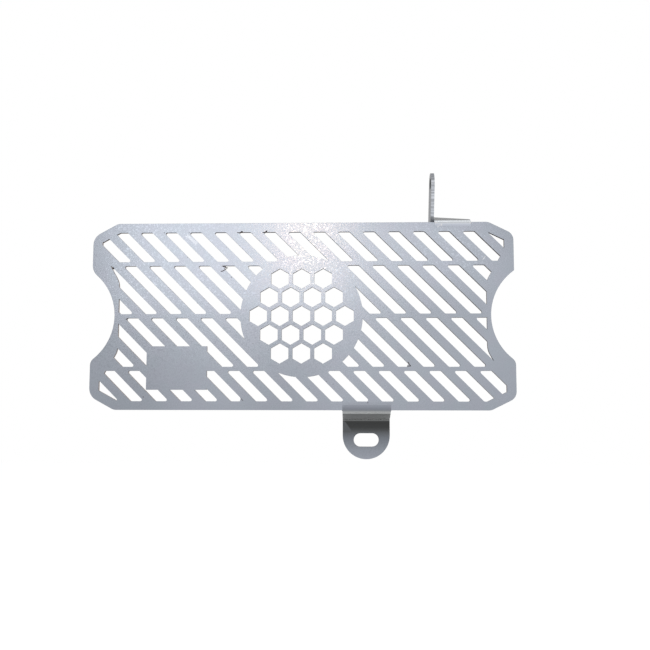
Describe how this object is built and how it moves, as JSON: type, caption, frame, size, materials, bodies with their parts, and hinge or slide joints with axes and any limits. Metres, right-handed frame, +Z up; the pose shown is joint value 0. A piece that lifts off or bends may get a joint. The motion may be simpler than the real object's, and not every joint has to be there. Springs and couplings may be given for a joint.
{
  "type": "motorcycle radiator guard",
  "caption": "Laser-cut stainless sheet guard for a motorcycle radiator: diagonal slot grille with a central roundel, folded tab with a bolt slot below, drilled tongue above.",
  "frame": {"origin": "middle of the bolt hole in the upper tongue", "axes": "+X to the right across the plate and along the bolt hole, +Y from the plate's front face back towards the radiator, +Z up"},
  "size_m": [0.254, 0.0222, 0.1733],
  "materials": {
    "stainless_sheet": "satin mill finish, light bluish grey, fine grain"
  },
  "bodies": {
    "root": {"guard_sheet": "stainless_sheet"}
  },
  "joints": []
}
